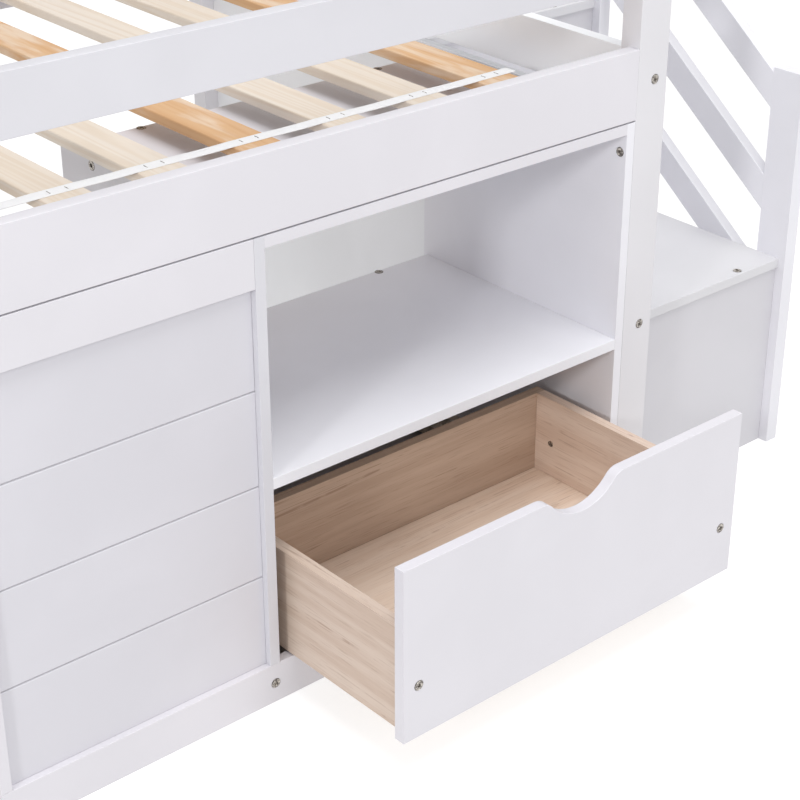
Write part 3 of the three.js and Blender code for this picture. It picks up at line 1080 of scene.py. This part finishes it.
    def _staples(self) -> bpy.types.Object:
        """Two wire staples where each tape crosses a slat.

        Each staple is a round wire along y. Its height = crown - drop * |s| to a high
        power, with s from 1 to -1 along it, so that its ends go down into the wood.

        Returns:
            All the staples as one mesh.
        """
        share = np.linspace(1, -1, self.staple_rings)
        angle = np.linspace(0, 2 * math.pi, self.wire_sides, endpoint=False)
        crown = self.top + self.tape_thickness + self.wire * self.wire_rise
        height = crown - self.staple_drop * np.abs(share) ** self.staple_flat
        spots = [
            (right - self.width / 2 + offset, row)
            for right in self._rights()
            for row in self.tape_rows
            for offset in self.staple_offsets
        ]
        spot = np.array(spots)[:, None, None, :]
        x = spot[..., 0] + self.wire * np.cos(angle)
        y = spot[..., 1] + self.staple_reach * share[:, None]
        z = height[:, None] + self.wire * np.sin(angle)
        rings = np.stack(np.broadcast_arrays(x, y, z), -1)
        return tube("tape_staples", bed_to_frame(rings))


@dataclass
class Cabinet(SubAssembly):
    """The cabinet's sides, top, shelf, lower back and back rail."""

    left: float = 1339.0
    right: float = 1976.6
    panel: float = 15.0
    bolt_rows: tuple[float, ...] = (80.0, 340.0)
    shelf_middle: float = 324.0
    top_middle: float = 644.5
    shelf_top: float = 332.0
    top: float = 652.0
    screw_row: float = 401.5
    screw_inset: float = 116.0
    post_bolt: Span = (11.5, 610.0)

    def build(self) -> None:
        """Dresses the boards and fills the pockets."""
        self.dress(GUARD_WHITE, "cabinet_left_side")
        self.dress(RAIL_WHITE, "cabinet_top")
        inside = ("cabinet_right_side", "cabinet_lower_back", "cabinet_back_rail")
        self.dress(WALL_WHITE_PAINTED_LIGHT, *inside)
        self.dress(SHELF_WHITE_PAINTED_LIGHT, "cabinet_shelf")
        heights = (self.shelf_middle, self.top_middle)
        ends = ((self.left, LEFT), (self.right, RIGHT))
        spots = [(y, z) for y in self.bolt_rows for z in heights]
        seats = [((x, *spot), out) for x, out in ends for spot in spots]
        for x in (self.left + self.screw_inset, self.right - self.screw_inset):
            seats += [((x, self.screw_row, z), UP) for z in (self.shelf_top, self.top)]
        seats.append(((self.right - self.panel, *self.post_bolt), LEFT))
        self.fasten("cabinet_bolts", seats)


@dataclass
class Bay(SubAssembly):
    """The base rail, and the grooved panel with its stile and header."""

    bolt_places: tuple[float, ...] = (956.5, 1346.5, 1969.1)
    bolt_height: float = 29.0

    def build(self) -> None:
        """Dresses the boards and fills the base rail's pockets."""
        self.dress(RAIL_WHITE, "base_rail", "bay_header", "bay_stile")
        self.dress(PANEL_WHITE, "grooved_panel")
        seats = [((x, 0.0, self.bolt_height), FRONT) for x in self.bolt_places]
        self.fasten("base_rail_bolts", seats)


@dataclass
class Drawer(SubAssembly):
    """The drawer: a white front on an oak-faced box."""

    body: Body = Body.DRAWER
    front_face: float = -240.5
    box_front: float = -224.5
    box_back: float = 132.5
    left: float = 1374.0
    right: float = 1941.6
    wall: float = 16.0
    bolt_height: float = 140.0
    nut_inset: float = 32.0

    def build(self) -> None:
        """Dresses the drawer's boards and sets its bolts and barrel nuts."""
        self.dress(RAIL_WHITE, "drawer_front")
        self.dress(OAK_SIDE, "drawer_left_side")
        # The right side, back and floor take oak copies with painted light and shade.
        self.dress(OAK_RIGHT_PAINTED_LIGHT, "drawer_right_side")
        self.dress(OAK_BACK_PAINTED_SHADE, "drawer_back")
        self.dress(OAK_FLOOR_PAINTED_LIGHT, "drawer_floor")
        lines = (self.left + self.wall / 2, self.right - self.wall / 2)
        faces = ((self.front_face, FRONT), (self.box_back, BACK))
        seats = [((x, y, self.bolt_height), out) for y, out in faces for x in lines]
        self.fasten("drawer_bolts", seats)
        rows = (self.box_front + self.nut_inset, self.box_back - self.wall - self.nut_inset)
        inner = ((self.left + self.wall, RIGHT), (self.right - self.wall, LEFT))
        nuts = [((x, y, self.bolt_height), out) for x, out in inner for y in rows]
        self.keep(BARREL_NUT.place_all("drawer_barrel_nuts", nuts), BRASS)


@dataclass
class Runners(SubAssembly):
    """The two wooden angles that the drawer slides on."""

    def build(self) -> None:
        """Dresses both runners in pale pine."""
        self.dress(PALE_PINE, "drawer_runner_left", "drawer_runner_right")


@dataclass
class Stair(SubAssembly):
    """The stair's side boards, risers, lower tread and landing."""

    bolt_lines: tuple[float, ...] = (2078.5, 2298.5)
    steps: tuple[Span, ...] = ((58.0, 325.0), (483.0, 650.0))

    def build(self) -> None:
        """Dresses the boards and fills the pockets in the treads."""
        names = ("outer_side", "lower_riser", "upper_riser")
        self.dress(RISER_WHITE_PAINTED_SHADE, *(f"stair_{name}" for name in names))
        self.dress(END_WHITE_PAINTED_LIGHT, "stair_inner_side")
        self.dress(STAIR_WHITE, "stair_lower_tread", "stair_landing")
        seats = [((x, y, z), UP) for x in self.bolt_lines for y, z in self.steps]
        self.fasten("stair_bolts", seats)


@dataclass
class Handrail(SubAssembly):
    """Two newels and three slanted rails."""

    face: float = 2409.5
    bolt_rows: tuple[float, ...] = (78.25, 487.5)
    bolt_heights: tuple[float, ...] = (80.0, 250.0)

    def build(self) -> None:
        """Dresses the newels and rails and fills the newels' pockets."""
        rails = [f"{place}_handrail" for place in ("upper", "middle", "lower")]
        self.dress(WALL_WHITE_PAINTED_LIGHT, "front_newel", "rear_newel", *rails)
        spots = [(y, z) for y in self.bolt_rows for z in self.bolt_heights]
        self.fasten("newel_bolts", [((self.face, *spot), RIGHT) for spot in spots])


# Stage


def stand(thing: bpy.types.Object, axes: np.ndarray, place: Point) -> None:
    """Turns a lamp or camera to the axes, given as columns, and sets it at the place."""
    thing.matrix_world = Matrix.LocRotScale(place, Matrix(axes.tolist()), None)
    bpy.context.scene.collection.objects.link(thing)


@dataclass(frozen=True)
class Lamp:
    """A square area lamp. Its places and its side are in metres."""

    name: str
    place: Point
    aim: Point
    side: float
    watts: float

    def build(self) -> None:
        """Makes the lamp. It shines along -z, from its place to its aim."""
        data = bpy.data.lights.new(self.name, "AREA")
        data.shape = "SQUARE"
        data.size = self.side
        data.energy = self.watts
        axes = facing(np.array(self.place) - np.array(self.aim))
        stand(bpy.data.objects.new(self.name, data), axes, self.place)


@dataclass
class Studio:
    """A pale floor, soft lamps and an even pale surround."""

    ambient: float = 0.66
    floor_side: float = 60.0
    floor_drop: float = 0.0005
    floor_thrown: Span = (0.3, 0.55)
    floor_seen: Span = (0.45, 0.66)
    cavity_x: Span = (0.134, 0.772)
    cavity_y: Span = (-0.387, 0.01)
    lamps: tuple[Lamp, ...] = (
        Lamp("front_lamp", (0.6, -5.5, 2.9), (0.3, -0.3, 0.3), side=1.6, watts=44.0),
        Lamp("left_lamp", (-4.59, -2.41, 2.23), (0.76, -0.3, 0.5), side=0.6, watts=75.0),
        Lamp("top_lamp", (0.5, -1.5, 5.3), (0.4, -0.3, 0.3), side=3.0, watts=134.0),
    )

    def build(self) -> None:
        """Makes the floor, the surround and the lamps."""
        self._floor()
        self._surround()
        for lamp in self.lamps:
            lamp.build()

    def _floor(self) -> None:
        """A large flat floor that looks white where nothing shades it.

        It is matt with a glow. Inside the cabinet the glow is cut, a painted shade there.
        The light that it throws back on the object comes from a darker floor with a weaker
        glow.
        """
        corners = np.array([[-1, -1, 0], [1, -1, 0], [1, 1, 0], [-1, 1, 0]])
        points = corners * (self.floor_side / 2) - np.array(UP) * self.floor_drop
        floor = object_from("floor", points, [[0, 1, 2, 3]])
        tree = NodeTree.of_material("pale_floor")
        # Painted shade: the floor's glow is cut inside the cabinet, so it stays dark there.
        colour = tree.mix(self._painted_shade_under_cabinet(tree), (1.0, 1.0, 1.0), (0.0, 0.0, 0.0))
        shaders = []
        for albedo, strength in (self.floor_thrown, self.floor_seen):
            grey = (albedo, albedo, albedo, 1.0)
            matt = tree.node("ShaderNodeBsdfDiffuse", {"Color": grey})
            glow = tree.node("ShaderNodeEmission", {"Color": colour, "Strength": strength})
            shaders.append(tree.node("ShaderNodeAddShader", {0: matt, 1: glow}))
        self._show(tree, "ShaderNodeOutputMaterial", *shaders)
        floor.data.materials.append(tree.owner)

    def _painted_shade_under_cabinet(self, tree: NodeTree) -> Shade:
        """1 on the floor inside the cabinet, kept dark as painted shade, and 0 elsewhere.

        Args:
            tree: The floor's tree.

        Returns:
            The share.
        """
        inside: Shade | float = 1.0
        for number, (low, high) in enumerate((self.cavity_x, self.cavity_y)):
            at = tree.part(tree.place(), number)
            past = at.between(high, high + MM)
            inside = at.between(low - MM, low) * (1.0 - past) * inside
        return inside

    @staticmethod
    def _show(tree: NodeTree, output: str, thrown: Shade, seen: Shade) -> None:
        """Closes a tree that looks other than the light that it throws on the object.

        Args:
            tree: The tree.
            output: Blender's name of the output node.
            thrown: The shader that lights the object.
            seen: The shader seen directly, in a gloss or through glass.
        """
        camera, glossy, clear = (
            tree.node("ShaderNodeLightPath", output=name)
            for name in ("Is Camera Ray", "Is Glossy Ray", "Is Transmission Ray")
        )
        inputs = {0: camera.largest(glossy).largest(clear), 1: thrown, 2: seen}
        tree.node(output, {"Surface": tree.node("ShaderNodeMixShader", inputs)})

    def _surround(self) -> None:
        """The world: white where it is seen, and a dimmer even light on the object."""
        world = bpy.data.worlds.new("surround")
        bpy.context.scene.world = world
        tree = NodeTree(world)
        white = (1.0, 1.0, 1.0, 1.0)
        soft = tree.node("ShaderNodeBackground", {0: white, 1: self.ambient})
        plain = tree.node("ShaderNodeBackground", {0: white, 1: 1.0})
        self._show(tree, "ShaderNodeOutputWorld", soft, plain)


@dataclass
class PhotoCamera:
    """The photograph's viewpoint, worked out from its vanishing directions."""

    place: Point = (-1.02975, -2.0155, 1.475)
    forward: Point = (0.608498, 0.642467, -0.465797)
    right: Point = (0.732989, -0.679956, 0.019692)
    focal_pixels: float = 1866.1
    centre: Span = (481.57, 411.3)
    sensor: float = 36.0
    clip: Span = (0.05, 200.0)

    def build(self) -> None:
        """Makes the camera. Lens = sensor * focal pixels / image side; each shift is the
        centre's distance from the image's middle as a share of the side."""
        data = bpy.data.cameras.new("photo_camera")
        data.sensor_width = self.sensor
        data.lens = self.sensor * self.focal_pixels / IMAGE_SIDE
        data.shift_x = (IMAGE_SIDE / 2 - self.centre[0]) / IMAGE_SIDE
        data.shift_y = (self.centre[1] - IMAGE_SIDE / 2) / IMAGE_SIDE
        data.clip_start, data.clip_end = self.clip
        camera = bpy.data.objects.new("photo_camera", data)
        stand(camera, self._axes(), self.place)
        bpy.context.scene.camera = camera

    def _axes(self) -> np.ndarray:
        """Right, up and back, made square to each other.

        Returns:
            The three axes as the columns of a matrix.
        """
        back = -np.array(self.forward)
        back /= np.linalg.norm(back)
        right = np.array(self.right)
        right -= back * (right @ back)
        right /= np.linalg.norm(right)
        return np.stack([right, np.cross(back, right), back], axis=1)


def main() -> None:
    """Builds the bed's sub-assemblies in order, then the stage and the camera."""
    logging.basicConfig(level=logging.INFO)
    bpy.context.scene.view_settings.view_transform = "Standard"
    PhotoCamera().build()
    parts = (BedFrame, SlatBase, Cabinet, Bay, Drawer, Runners, Stair, Handrail)
    for part in parts:
        group = part()
        group.build()
        LOG.info("%s: %d pieces", part.__name__, len(group.made))
    Studio().build()


if __name__ == "__main__":
    main()
